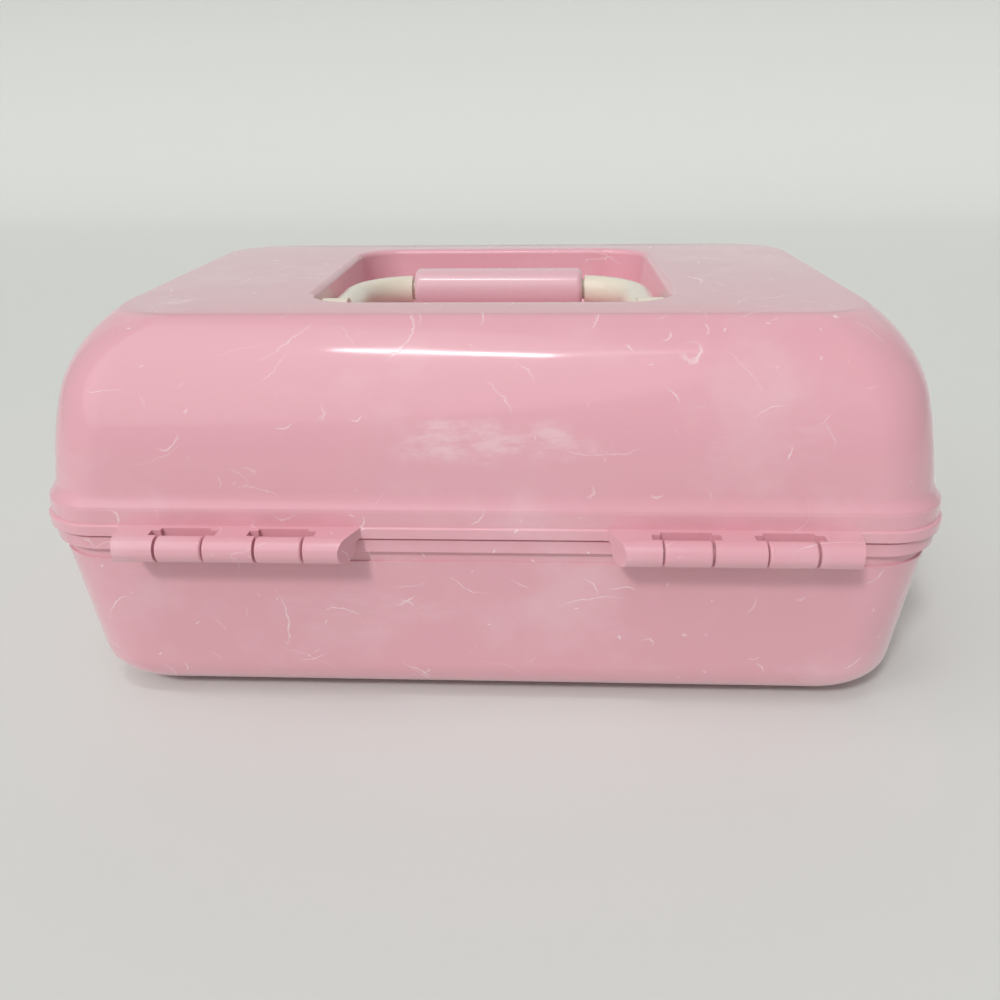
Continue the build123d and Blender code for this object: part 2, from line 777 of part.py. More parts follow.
with BuildPart() as mirror_frame:
    with BuildSketch(Plane.XY.offset(glass_bottom - mirror_clip_height)):
        with Locations((0, recess_centre_y)):
            RectangleRounded(frame_length, frame_depth, 2 * mirror_frame_edge)
    extrude(amount=mirror_top - glass_bottom + mirror_clip_height)
    # ears for the four screws
    with BuildSketch(Plane.XY.offset(glass_top)):
        with Locations((0, recess_centre_y)):
            with GridLocations(mirror_boss_pitch_x, 0, 2, 1):
                SlotOverall(
                    mirror_boss_pitch_y + 2 * mirror_boss_radius,
                    2 * mirror_boss_radius,
                    rotation=90,
                )
    extrude(amount=mirror_back)
    # seat for the glass, open below except under the clips
    with BuildSketch(Plane.XY.offset(glass_bottom - mirror_clip_height)):
        with Locations((0, recess_centre_y)):
            Rectangle(mirror_length + 2 * mirror_clearance, mirror_depth + 2 * mirror_clearance)
    extrude(amount=mirror_thickness + mirror_clip_height, mode=Mode.SUBTRACT)
    with BuildSketch(Plane.XY.offset(glass_bottom - mirror_clip_height)):
        with Locations((0, recess_centre_y)):
            with GridLocations(mirror_length / 2, mirror_depth + 2 * mirror_clearance, 2, 2):
                Rectangle(mirror_clip_length, 2 * mirror_clip_reach)
    extrude(amount=mirror_clip_height - mirror_clearance)
    with BuildSketch(Plane.XY.offset(mirror_top)):
        with Locations((0, recess_centre_y)):
            with GridLocations(mirror_boss_pitch_x, mirror_boss_pitch_y, 2, 2):
                Circle(mirror_screw_radius + running_clearance)
    extrude(amount=-mirror_back, mode=Mode.SUBTRACT)
mirror_frame.part.label = "mirror_frame"
export_step(mirror_frame.part, "parts/mirror_frame.step")

with BuildPart() as mirror_glass:
    with BuildSketch(Plane.XY.offset(glass_top - mirror_clearance / 3)):
        with Locations((0, recess_centre_y)):
            Rectangle(mirror_length, mirror_depth)
    extrude(amount=-mirror_thickness + mirror_clearance / 3)
mirror_glass.part.label = "mirror_glass"
export_step(mirror_glass.part, "parts/mirror_glass.step")

with BuildPart() as mirror_screws:
    with BuildSketch(Plane.XY.offset(glass_top - arm_side_gap)):
        with Locations((0, recess_centre_y)):
            with GridLocations(mirror_boss_pitch_x, mirror_boss_pitch_y, 2, 2):
                Circle(mirror_boss_radius - 1)
    extrude(amount=-rivet_head)
    with BuildSketch(Plane.XY.offset(glass_top - arm_side_gap)):
        with Locations((0, recess_centre_y)):
            with GridLocations(mirror_boss_pitch_x, mirror_boss_pitch_y, 2, 2):
                Circle(mirror_screw_radius)
    extrude(amount=mirror_back + screw_depth)
mirror_screws.part.label = "mirror_screws"
export_step(mirror_screws.part, "parts/mirror_screws.step")
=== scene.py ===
"""Dresses the trunk-shaped make-up case: glossy moulded shells, hinges, handle, trays and stage."""

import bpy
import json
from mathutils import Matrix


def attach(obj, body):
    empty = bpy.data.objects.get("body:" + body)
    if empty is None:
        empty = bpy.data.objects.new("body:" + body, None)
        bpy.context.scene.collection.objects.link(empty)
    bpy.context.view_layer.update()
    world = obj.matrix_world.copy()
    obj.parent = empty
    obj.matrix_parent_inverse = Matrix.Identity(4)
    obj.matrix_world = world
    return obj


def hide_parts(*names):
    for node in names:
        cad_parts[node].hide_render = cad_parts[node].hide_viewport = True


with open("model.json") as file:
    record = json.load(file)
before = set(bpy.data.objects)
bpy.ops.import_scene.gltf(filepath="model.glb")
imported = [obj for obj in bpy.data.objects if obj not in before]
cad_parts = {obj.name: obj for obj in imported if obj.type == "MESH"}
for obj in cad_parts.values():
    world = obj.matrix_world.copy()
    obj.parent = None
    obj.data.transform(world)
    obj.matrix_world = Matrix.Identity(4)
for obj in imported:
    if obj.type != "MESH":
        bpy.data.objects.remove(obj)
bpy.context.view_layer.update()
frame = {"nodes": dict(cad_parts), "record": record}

import json
from math import cos, pi, radians, sin, sqrt, tan

import bmesh
import bpy
from bpy.props import FloatProperty, FloatVectorProperty, IntProperty, PointerProperty
from mathutils import Matrix, Vector

bl_info = {
    "name": "Make-up Case",
    "version": (1, 0, 0),
    "blender": (4, 5, 0),
    "location": "View3D > Sidebar > Make-up Case",
    "description": "Models the shells, hinges, finishes and stage of a moulded make-up case",
    "category": "Object",
}

MM = 0.001
ROUND_STEPS = 3  # steps in each rolled edge of a shell
SHARP_EDGE = radians(35)  # a fitting's edges that turn by more than this are rounded
SAME_POINT = 1e-6  # metres within which two points are one
FLAT = radians(1)  # faces that turn by less than this are made one


def size_mm(name, description, value):
    """A length property whose default is given in millimetres."""
    return FloatProperty(name=name, description=description, default=value * MM, unit="LENGTH", precision=5)


def slope(name, description, degrees):
    """An angle property whose default is given in degrees."""
    return FloatProperty(name=name, description=description, default=radians(degrees), subtype="ANGLE")


def linear(hex_code):
    """An sRGB hex colour as linear RGBA."""
    channels = [int(hex_code[i : i + 2], 16) / 255 for i in (1, 3, 5)]
    return [c / 12.92 if c <= 0.04045 else ((c + 0.055) / 1.055) ** 2.4 for c in channels] + [1.0]


def tint(name, description, hex_code):
    """A colour property whose default is an sRGB hex code."""
    return FloatVectorProperty(
        name=name, description=description, default=linear(hex_code), subtype="COLOR", size=4, min=0, max=1
    )


class ShellSizes(bpy.types.PropertyGroup):
    """Sizes that the two moulded shells share."""

    length: size_mm("Length", "Overall length of the lid's rim", 330)
    depth: size_mm("Depth", "Overall depth of the lid's rim", 236)
    height: size_mm("Height", "Height of the lid's flat top", 148)
    parting: size_mm("Parting height", "Height of the tub's rim", 74.4)
    gap: size_mm("Parting gap", "Gap between the two rims", 0.8)
    wall: size_mm("Wall", "Thickness of both shells", 2.4)
    corner: size_mm("Corner radius", "Plan radius of the shells' corners", 25)
    arc_steps: IntProperty(name="Arc steps", default=12, description="Steps in each rolled shoulder")
    corner_steps: IntProperty(name="Corner steps", default=14, description="Steps in each plan corner")


class TubSizes(bpy.types.PropertyGroup):
    """Sizes of the tub."""

    band: size_mm("Band inset", "Inset of the rim's band", 1.2)
    band_height: size_mm("Band height", "Height of the rim's band", 5.1)
    step: size_mm("Step inset", "Inset of the step under the band", 3.6)
    step_height: size_mm("Step height", "Height of the step under the band", 4.4)
    inset: size_mm("Wall inset", "Inset of the leaning wall at its top", 3)
    lean: slope("Lean", "Lean of the tub's walls", 5.2)
    roll: size_mm("Edge radius", "Radius of the tub's rolled lower edge", 17)
    foot_height: size_mm("Foot height", "Height of the ring under the tub", 3)
    foot_inset: size_mm("Foot inset", "Inset of the ring under the tub", 40)
    foot_width: size_mm("Foot width", "Width of the ring under the tub", 5)
    boss_y: size_mm("Arm boss, back", "How far back the front arms' bosses lie", 23)
    boss_z: size_mm("Arm boss, height", "Height of the front arms' bosses", 66.4)


class LidSizes(bpy.types.PropertyGroup):
    """Sizes of the lid."""

    lip: size_mm("Lip height", "Height of the lip's top over the tub's rim", 5)
    band: size_mm("Band inset", "Inset of the band above the lip", 0.9)
    band_height: size_mm("Band height", "Height of the band's top over the tub's rim", 11)
    flare: size_mm("Flare", "Height over which the wall runs out to its band", 6)
    inset: size_mm("Wall inset", "Inset of the leaning wall at its foot", 2.7)
    side_lean: slope("End lean", "Lean of the lid's ends", 9)
    back_lean: slope("Back lean", "Lean of the lid's front and back", 3.5)
    side_roll: size_mm("End radius", "Radius of the shoulders at the lid's ends", 40)
    back_roll: size_mm("Back radius", "Radius of the shoulders at the lid's front and back", 62.5)
    crease: slope("Crease angle", "Turn of the shoulder before the flat top", 58)
    tongue: size_mm("Tongue inset", "Inset of the tongue that enters the tub's rim", 4.1)
    tongue_thickness: size_mm("Tongue thickness", "Thickness of that tongue", 1.6)
    tongue_depth: size_mm("Tongue depth", "Depth of that tongue in the tub's rim", 2)


class RecessSizes(bpy.types.PropertyGroup):
    """Sizes of the handle's recess in the lid."""

    length: size_mm("Length", "Length of the recess's mouth", 140)
    depth: size_mm("Depth", "Depth of the recess's mouth, front to back", 132)
    centre_y: size_mm("Centre", "How far the recess lies from the middle", -2)
    drop: size_mm("Drop", "Depth of the recess's floor below the top", 26)
    corner: size_mm("Corner radius", "Plan radius of the recess's corners", 20)
    draft: slope("Draft", "Draft of the recess's walls", 6)
    floor_radius: size_mm("Floor radius", "Radius where the floor meets the walls", 5)
    lip_radius: size_mm("Lip radius", "Radius of the recess's lip", 2.4)
    steps: IntProperty(name="Steps", default=6, description="Steps in each of the recess's rounded edges")


class HingeSizes(bpy.types.PropertyGroup):
    """Sizes of the moulded hinge aprons and barrels."""

    axis_y: size_mm("Axis, back", "How far back the hinge's axis lies", 126.5)
    axis_z: size_mm("Axis, height", "Height of the hinge's axis", 74.9)
    barrel: size_mm("Barrel radius", "Radius of the barrels", 4.6)
    slab: size_mm("Apron thickness", "Thickness of the apron behind its barrel", 3.6)
    inner_root: size_mm("Inner root", "Inner end of the apron at the lid", 42.5)
    inner_tip: size_mm("Inner tip", "Inner end of the apron at its barrel", 49)
    outer_root: size_mm("Outer root", "Outer end of the apron at the lid", 130)
    outer_tip: size_mm("Outer tip", "Outer end of the apron at its barrel", 127.5)
    window_near: size_mm("Near window", "Middle of the inner window", 69.8)
    window_far: size_mm("Far window", "Middle of the outer window", 104.6)
    window_width: size_mm("Window width", "Width of each window", 17.6)
    window_web: size_mm("Window web", "Web left between the lid and each window", 1.4)
    notch_width: size_mm("Notch width", "How far each notch widens its window", 3)
    notch_depth: size_mm("Notch depth", "Depth of each notch, front to back", 4)
    notch_offset: size_mm("Notch offset", "Distance from the window's back edge to its notch", 1.8)
    play: size_mm("Play", "Gap at each end of a barrel in its window", 0.7)
    peg: size_mm("Peg radius", "Radius of the pegs that join barrel and apron", 2)
    peg_length: size_mm("Peg length", "Length of those pegs", 3.4)
    strap_drop: size_mm("Strap drop", "Drop of the barrels' straps below the tub's rim", 0.5)
    toe_rise: size_mm("Toe rise", "Height of a gusset's toe over its barrel's underside", 0.2)
    barrel_round: size_mm("Barrel rounding", "Radius of the barrels' rolled ends", 0.9)
    barrel_bevel: size_mm("Barrel bevel", "Bevel of the edges between barrel and strap", 0.3)
    apron_bevel: size_mm("Apron bevel", "Bevel of the aprons' edges", 0.5)
    slab_back: size_mm("Slab setback", "How far the slab stops short of the barrel's crown", 0.2)


class FittingSizes(bpy.types.PropertyGroup):
    """Places and sizes of the lugs and bosses that carry the fittings."""

    latch_x: size_mm("Latch, side", "Distance of each latch from the middle", 92)
    latch_y: size_mm("Latch, back", "How far back the latches' axis lies", -122.2)
    latch_z: size_mm("Latch, height", "Height of the latches' axis", 87.9)
    lug_spread: size_mm("Lug spread", "Distance of each lug from its latch's middle", 17.5)
    lug_width: size_mm("Lug width", "Width of each lug", 4)
    lug: size_mm("Lug radius", "Radius of each lug's nose", 4.4)
    lug_bore: size_mm("Lug bore", "Radius of the bore in each lug", 1.95)
    boss: size_mm("Boss radius", "Radius of the swing arms' bosses", 4.6)
    boss_face: size_mm("Boss face", "Distance of the bosses' faces from the middle", 148.2)
    boss_depth: size_mm("Boss bore depth", "Depth of the bores in the bosses", 5)
    stud_bore: size_mm("Stud bore", "Radius of the front arms' bores", 2)
    screw_bore: size_mm("Screw bore", "Radius of the screws' bores", 1.55)
    low_y: size_mm("Low screw, back", "How far back the lower arm screw lies", 92)
    low_z: size_mm("Low screw, height", "Height of the lower arm screw", 97)
    high_y: size_mm("High screw, back", "How far back the upper arm screw lies", 66)
    high_z: size_mm("High screw, height", "Height of the upper arm screw", 109)
    mirror_x: size_mm("Mirror boss, side", "Distance of the mirror's bosses from the middle", 95)
    mirror_y: size_mm("Mirror boss, back", "Distance of the mirror's bosses from its own middle", 67)
    mirror_z: size_mm("Mirror boss, height", "Height of the mirror bosses' faces", 118.4)
    mirror_boss: size_mm("Mirror boss radius", "Radius of the mirror's bosses", 4)
    lug_bevel: size_mm("Lug bevel", "Bevel of the lugs' edges", 0.4)
    boss_bevel: size_mm("Boss bevel", "Bevel of the bosses' edges", 0.3)


class StageSettings(bpy.types.PropertyGroup):
    """The camera's stand and the stage's sizes."""

    pitch: slope("Pitch", "How far the camera looks down", 23.63)
    yaw: slope("Yaw", "How far the camera is turned aside", -2.81)
    roll: slope("Roll", "How far the camera is tilted", -0.7)
    lens: FloatProperty(name="Lens", description="Focal length in millimetres", default=32.35)
    film: FloatProperty(name="Film", description="Width of the film in millimetres", default=36)
    stand_x: size_mm("Camera, side", "Place of the camera along the case", -19.88)
    stand_y: size_mm("Camera, back", "Distance of the camera behind the case's middle", 400.43)
    stand_z: size_mm("Camera, height", "Height of the camera", 214.34)
    floor: size_mm("Floor", "Half the width of the floor", 3000)
    bend_y: size_mm("Bend", "Distance at which the floor starts to rise", 1400)
    bend: size_mm("Bend radius", "Radius of the bend between floor and backdrop", 600)
    backdrop: size_mm("Backdrop", "Height of the backdrop above the bend", 2500)
    bend_steps: IntProperty(name="Bend steps", default=16, description="Steps in the bend")
    world_strength: FloatProperty(name="World", description="Strength of the light all round", default=0.42)


class FinishColours(bpy.types.PropertyGroup):
    """Colours of the mouldings, the metal and the stage."""

    shell: tint("Shell pink", "Colour of the two shells", "#E3A6B2")
    grip: tint("Grip pink", "Colour of the hand grip", "#E3B4BE")
    cream: tint("Cream", "Colour of the handle's arms", "#E6DCC9")
    tray: tint("Tray white", "Colour of the trays", "#EDE2DA")
    scuff: tint("Scuff", "Colour of scuffed plastic", "#F6E9EA")
    zinc: tint("Zinc", "Colour of the plated steel", "#B9BBBD")
    floor: tint("Floor", "Colour of the floor", "#DADBD8")
    background: tint("Background", "Colour of the background", "#DDDFDD")


# ---------------------------------------------------------------- mesh tools
def round_edges(mesh, edges, amount):
    """Rolls the given edges over."""
    bmesh.ops.bevel(
        mesh,
        geom=[e for e in edges if e.is_valid],
        affect="EDGES",
        offset_type="OFFSET",
        offset=amount,
        segments=ROUND_STEPS,
        profile=0.5,
        material=-1,
    )


class Ring:
    """The open edge of a rounded rectangle that is extruded step by step into a shell."""

    def __init__(self, mesh, half_x, half_y, radius, z, steps, centre_y=0.0):
        self.mesh, self.centre_y, self.half, self.radius = mesh, centre_y, (half_x, half_y), radius
        verts = bmesh.ops.create_grid(mesh, x_segments=1, y_segments=1, size=1.0)["verts"]
        placed = Matrix.Translation((0, centre_y, z)) @ Matrix.Diagonal((half_x, half_y, 1, 1))
        bmesh.ops.transform(mesh, verts=verts, matrix=placed)
        bmesh.ops.bevel(
            mesh,
            geom=verts,
            affect="VERTICES",
            offset_type="OFFSET",
            offset=radius,
            segments=steps,
            profile=0.5,
            material=-1,
        )
        self.cap = max(mesh.faces, key=lambda f: f.calc_area())
        self.edges = list(self.cap.edges)
        self.sharp = []

    def step(self, half_x, half_y, z, radius=None, centre_y=None, soften=0.0):
        """Extrudes the open edge to a new size and height; soften rounds the edge that it leaves."""
        radius = self.radius if radius is None else radius
        centre_y = self.centre_y if centre_y is None else centre_y
        if soften:
            self.sharp.append((list(self.edges), soften))
        made = bmesh.ops.extrude_edge_only(self.mesh, edges=self.edges)["geom"]
        verts = [v for v in made if isinstance(v, bmesh.types.BMVert)]
        fresh = set(verts)
        self.edges = [e for e in made if isinstance(e, bmesh.types.BMEdge) and fresh.issuperset(e.verts)]
        share = radius / self.radius
        for side_x in (-1, 1):
            for side_y in (-1, 1):
                group = [v for v in verts if v.co.x * side_x > 0 and (v.co.y - self.centre_y) * side_y > 0]
                old_y = self.centre_y + side_y * (self.half[1] - self.radius)
                old = Vector((side_x * (self.half[0] - self.radius), old_y, 0))
                new = Vector((side_x * (half_x - radius), centre_y + side_y * (half_y - radius), 0))
                bmesh.ops.scale(self.mesh, vec=(share, share, 1), space=Matrix.Translation(-old), verts=group)
                bmesh.ops.translate(self.mesh, vec=new - old, verts=group)
        for vert in verts:
            vert.co.z = z
        self.half, self.radius, self.centre_y = (half_x, half_y), radius, centre_y

    def soften(self):
        """Rounds the edges that were marked."""
        for edges, amount in self.sharp:
            round_edges(self.mesh, edges, amount)

    def close(self):
        """Caps the open edge and rounds the edges that were marked."""
        bmesh.ops.contextual_create(self.mesh, geom=self.edges)
        self.soften()


def finished(mesh, name, material, body, bevel=0.0):
    """Turns a bmesh into a smooth piece that rides on a body."""
    bmesh.ops.remove_doubles(mesh, verts=mesh.verts, dist=SAME_POINT)
    bmesh.ops.recalc_face_normals(mesh, faces=mesh.faces)
    data = bpy.data.meshes.new(name)
    mesh.to_mesh(data)
    mesh.free()
    for polygon in data.polygons:
        polygon.use_smooth = True
    piece = bpy.data.objects.new(name, data)
    bpy.context.collection.objects.link(piece)
    if bevel:
        rounding = piece.modifiers.new("rounded edges", "BEVEL")
        rounding.width = bevel
        rounding.segments = 2
        rounding.limit_method = "ANGLE"
        rounding.angle_limit = SHARP_EDGE
        rounding.use_clamp_overlap = True
    shading = piece.modifiers.new("even shading", "WEIGHTED_NORMAL")
    shading.keep_sharp = True
    shading.weight = 80
    data.materials.append(material)
    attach(piece, body)
    return piece


def block(mesh, low, high):
    """A box between two corners."""
    low, high = Vector(low), Vector(high)
    placed = Matrix.Translation((low + high) / 2) @ Matrix.Diagonal((*(high - low), 1))
    return bmesh.ops.create_cube(mesh, size=1, matrix=placed)["verts"]


def bar(mesh, placed, radius, length, segments):
    """A round bar with capped ends, along Z before it is placed."""
    return bmesh.ops.create_cone(
        mesh,
        cap_ends=True,
        segments=segments,
        radius1=radius,
        radius2=radius,
        depth=length,
        matrix=placed,
    )["verts"]


def rod(mesh, y, z, radius, x_low, x_high, segments=32):
    """A round bar along X."""
    placed = Matrix.Translation(((x_low + x_high) / 2, y, z)) @ Matrix.Rotation(pi / 2, 4, "Y")
    return bar(mesh, placed, radius, abs(x_high - x_low), segments)


def post(mesh, x, y, radius, z_low, z_high, segments=32):
    """A round bar along Z."""
    return bar(mesh, Matrix.Translation((x, y, (z_low + z_high) / 2)), radius, z_high - z_low, segments)


def wrap(mesh, verts):
    """The convex hull of some points of the mesh, with what lies inside it taken away."""
    made = bmesh.ops.convex_hull(mesh, input=verts)
    inside = [g for g in made["geom_interior"] + made["geom_unused"] if isinstance(g, bmesh.types.BMVert)]
    bmesh.ops.delete(mesh, geom=inside, context="VERTS")
    flat = [f for f in mesh.faces if f.is_valid and not f.normal.length]
    bmesh.ops.delete(mesh, geom=flat, context="FACES_ONLY")


def merged(mesh, other, operation):
    """The mesh joined with the other one, or cut by it; both are used up."""
    hosts = []
    for part in (mesh, other):
        bmesh.ops.recalc_face_normals(part, faces=part.faces)
        data = bpy.data.meshes.new("operand")
        part.to_mesh(data)
        part.free()
        host = bpy.data.objects.new("operand", data)
        bpy.context.collection.objects.link(host)
        hosts.append(host)
    change = hosts[0].modifiers.new("change", "BOOLEAN")
    change.object = hosts[1]
    change.operation = operation
    change.solver = "EXACT"
    change.use_self = True
    bpy.context.view_layer.update()
    changed = bpy.data.meshes.new_from_object(hosts[0].evaluated_get(bpy.context.evaluated_depsgraph_get()))
    result = bmesh.new()
    result.from_mesh(changed)
    for host in hosts:
        bpy.data.objects.remove(host)
    bpy.data.meshes.remove(changed)
    bmesh.ops.dissolve_limit(
        result, angle_limit=FLAT, use_dissolve_boundaries=False, verts=result.verts, edges=result.edges
    )
    return result


def carve(mesh, cutter):
    """The mesh with the cutter's solid taken out; both are used up."""
    return merged(mesh, cutter, "DIFFERENCE")


def weld(mesh):
    """The overlapping closed parts of a mesh made one solid; the mesh is used up."""
    return merged(mesh, bmesh.new(), "UNION")


# ---------------------------------------------------------------- materials
MATH, VECTOR, RANGE = "ShaderNodeMath", "ShaderNodeVectorMath", "ShaderNodeMapRange"
NOISE, BUMP, MIX = "ShaderNodeTexNoise", "ShaderNodeBump", "ShaderNodeMixRGB"
COORDS, MAPPING = "ShaderNodeTexCoord", "ShaderNodeMapping"
SURFACE, OUTPUT = "ShaderNodeBsdfPrincipled", "ShaderNodeOutputMaterial"
SMOOTH = {"clamp": True, "interpolation_type": "SMOOTHSTEP"}  # eases a range in and out


def add_node(tree, kind, *values, output=0, sockets=None, **settings):
    """Adds one node and returns one of its outputs. Values feed its inputs in order and sockets by name,
    each with a constant or another node's output; settings are the node's own attributes."""
    node = tree.nodes.new(kind)
    for key, value in settings.items():
        setattr(node, key, value)
    for key, value in [*enumerate(values), *(sockets or {}).items()]:
        if isinstance(value, bpy.types.NodeSocket):
            tree.links.new(value, node.inputs[key])
        else:
            node.inputs[key].default_value = value
    return node.outputs[output] if node.outputs else None


def new_material(name):
    """An empty node material and its node tree."""
    material = bpy.data.materials.new(name)
    material.use_nodes = True
    material.node_tree.nodes.clear()
    return material, material.node_tree


def scratches(tree, place, seed, pitch_mm, reach_mm, width_mm, bend, share):
    """Separate curved scratches, at most one in each cell of the given pitch: each is where the surface
    crosses a thin bowed sheet that stands at a random angle around the cell's own point."""
    reach, width = reach_mm * MM, width_mm * MM
    moved = add_node(tree, VECTOR, place, (seed, 2 * seed, 3 * seed), operation="ADD")
    cells = {"Vector": moved, "Scale": 1 / (pitch_mm * MM)}
    cell = add_node(tree, "ShaderNodeTexVoronoi", sockets=cells, feature="F1").node.outputs
    local = add_node(tree, VECTOR, moved, cell["Position"], operation="SUBTRACT")
    turned = add_node(tree, VECTOR, cell["Color"], (0.5, 0.5, 0.5), operation="SUBTRACT")
    facing = add_node(tree, VECTOR, turned, operation="NORMALIZE")
    across = add_node(tree, VECTOR, local, facing, output="Value", operation="DOT_PRODUCT")
    distance = add_node(tree, VECTOR, local, output="Value", operation="LENGTH")
    squared = add_node(tree, MATH, distance, 2.0, operation="POWER")
    bow = add_node(tree, MATH, squared, bend / reach, operation="MULTIPLY")
    bowed = add_node(tree, MATH, across, bow, operation="ADD")
    off_line = add_node(tree, MATH, bowed, operation="ABSOLUTE")
    taper = add_node(tree, RANGE, distance, reach, 0.3 * reach, **SMOOTH)
    line = add_node(tree, RANGE, off_line, width, 0.2 * width, **SMOOTH)
    draw = add_node(tree, VECTOR, cell["Color"], (1, 0, 0), output="Value", operation="DOT_PRODUCT")
    chosen = add_node(tree, MATH, draw, share, operation="LESS_THAN")
    tapered = add_node(tree, MATH, line, taper, operation="MULTIPLY")
    return add_node(tree, MATH, tapered, chosen, operation="MULTIPLY")


def scuff_patch(tree, place, centre_mm, half_mm):
    """A hazy rubbed patch: an ellipsoid about one place on the case, with a ragged edge."""
    ragged = add_node(tree, NOISE, sockets=dict(Vector=place, Scale=1 / (26 * MM), Detail=8, Roughness=0.7))
    local = add_node(tree, VECTOR, place, tuple(c * MM for c in centre_mm), operation="SUBTRACT")
    scaled = add_node(tree, VECTOR, local, tuple(h * MM for h in half_mm), operation="DIVIDE")
    distance = add_node(tree, VECTOR, scaled, output="Value", operation="LENGTH")
    centred = add_node(tree, MATH, ragged, 0.5, operation="SUBTRACT")
    shift = add_node(tree, MATH, centred, 2.2, operation="MULTIPLY")
    reach = add_node(tree, MATH, distance, shift, operation="ADD")
    return add_node(tree, RANGE, reach, 1.05, 0.5, **SMOOTH)


# centre and half extents of the rubbed patches, in mm, and how strong each is
SCUFFS = (
    ((-4, 114, 110), (42, 20, 10), 0.3),
    ((118, 62, 145), (15, 10, 5), 0.5),
    ((-100, 110, 112), (30, 20, 12), 0.1),
    ((40, 114, 44), (50, 20, 9), 0.12),
)
# seed, pitch, reach and width in mm, bow, and the share of the cells that hold one; real scratches are
# near 0.1 mm wide and would not show, so they are drawn about as wide as one pixel of the render
MARKS = (
    (0.0, 20, 6.0, 0.34, 0.3, 0.5),
    (0.3, 13, 3.6, 0.36, 0.4, 0.45),
    (0.7, 40, 19.0, 0.26, 0.2, 0.6),
    (1.1, 8, 1.4, 0.45, 0.2, 0.4),
    (1.7, 26, 10.0, 0.24, 0.2, 0.8),
)


def worn_gloss_plastic(name, colour, scuff, wear=1.0, roughness=0.42):
    """Injection-moulded polystyrene: a milky body under a bright moulded skin, which years of handling
    have hazed in clouds and marked with separate whitish scratches and nicks."""
    material, tree = new_material(name)
    place = add_node(tree, COORDS, output="Object")
    cloud = add_node(tree, NOISE, sockets=dict(Vector=place, Scale=1 / (60 * MM), Detail=6, Roughness=0.62))
    # a hand never draws a clean arc, so the marks are drawn on a slightly crumpled space
    shivers = dict(Vector=place, Scale=1 / (9 * MM), Detail=3, Roughness=0.6)
    shiver = add_node(tree, NOISE, output="Color", sockets=shivers)
    centred = add_node(tree, VECTOR, shiver, (0.5, 0.5, 0.5), operation="SUBTRACT")
    shift = add_node(tree, VECTOR, centred, (4 * MM, 4 * MM, 4 * MM), operation="MULTIPLY")
    crumpled = add_node(tree, VECTOR, place, shift, operation="ADD")
    marked = None
    for mark in MARKS:
        drawn = scratches(tree, crumpled, *mark)
        marked = drawn if marked is None else add_node(tree, MATH, marked, drawn, operation="MAXIMUM")
    kept = add_node(tree, RANGE, cloud, 0.36, 0.56, 0.4, 1.0, **SMOOTH)
    marked = add_node(tree, MATH, marked, kept, operation="MULTIPLY")
    # fine hairlines break the haze up, as they do on rubbed plastic
    long = add_node(tree, MAPPING, sockets=dict(Vector=place, Scale=(0.25, 1, 1)))
    hairs = add_node(tree, NOISE, sockets=dict(Vector=long, Scale=1 / (2.5 * MM), Detail=4, Roughness=0.7))
    broken = add_node(tree, RANGE, hairs, 0.35, 0.65, 0.1, 1.0, **SMOOTH)
    veil = add_node(tree, RANGE, cloud, 0.46, 0.75, **SMOOTH)
    haze = add_node(tree, MATH, veil, 0.22, operation="MULTIPLY")
    for centre, half, strength in SCUFFS:
        patch = add_node(tree, MATH, scuff_patch(tree, place, centre, half), strength, operation="MULTIPLY")
        patch = add_node(tree, MATH, patch, broken, operation="MULTIPLY")
        haze = add_node(tree, MATH, haze, patch, operation="MAXIMUM")
    hazed = add_node(tree, MATH, haze, wear, operation="MULTIPLY")
    scratched = add_node(tree, MATH, marked, 0.62 * wear, operation="MULTIPLY")
    worn = add_node(tree, MATH, hazed, scratched, operation="MAXIMUM")
    ripple = add_node(tree, NOISE, sockets=dict(Vector=place, Scale=1 / (22 * MM), Detail=1))
    dents = add_node(tree, MATH, marked, 0.7, operation="MULTIPLY")
    height = add_node(tree, MATH, ripple, dents, operation="SUBTRACT")
    bump = add_node(tree, BUMP, sockets=dict(Height=height, Strength=0.06, Distance=1 * MM))
    surface = add_node(
        tree,
        SURFACE,
        sockets={
            "Base Color": add_node(tree, MIX, worn, list(colour), list(scuff)),
            "Roughness": add_node(tree, RANGE, worn, 0, 1, roughness, roughness + 0.25, **SMOOTH),
            "IOR": 1.5,
            "Coat Weight": add_node(tree, RANGE, worn, 0.1, 0.8, 0.9, 0.2, **SMOOTH),
            "Coat Roughness": add_node(tree, RANGE, cloud, 0.3, 0.7, 0.07, 0.16, **SMOOTH),
            "Coat IOR": 1.5,
            "Sheen Weight": 0.22,
            "Sheen Roughness": 0.4,
            "Normal": bump,
            "Coat Normal": bump,
        },
    )
    add_node(tree, OUTPUT, surface)
    return material


def plain_moulding(name, colour, roughness, grain_mm):
    """Unpolished moulded plastic: an even colour over a spark-eroded grain that breaks up its sheen. The
    real grain is near 0.1 mm and would not show, so it is drawn coarser."""
    material, tree = new_material(name)
    place = add_node(tree, COORDS, output="Object")
    cloud = add_node(tree, NOISE, sockets=dict(Vector=place, Scale=1 / (80 * MM), Detail=3))
    drift = add_node(tree, RANGE, cloud, 0.35, 0.75, **SMOOTH)
    darker = [c * 0.9 for c in colour[:3]] + [1]
    shade = add_node(tree, MIX, drift, darker, list(colour))
    grain = add_node(tree, NOISE, sockets=dict(Vector=place, Scale=1 / (grain_mm * MM)))
    bump = add_node(tree, BUMP, sockets=dict(Height=grain, Strength=0.08, Distance=0.3 * MM))
    finish = {"Base Color": shade, "Roughness": roughness, "IOR": 1.49, "Normal": bump}
    add_node(tree, OUTPUT, add_node(tree, SURFACE, sockets=finish))
    return material


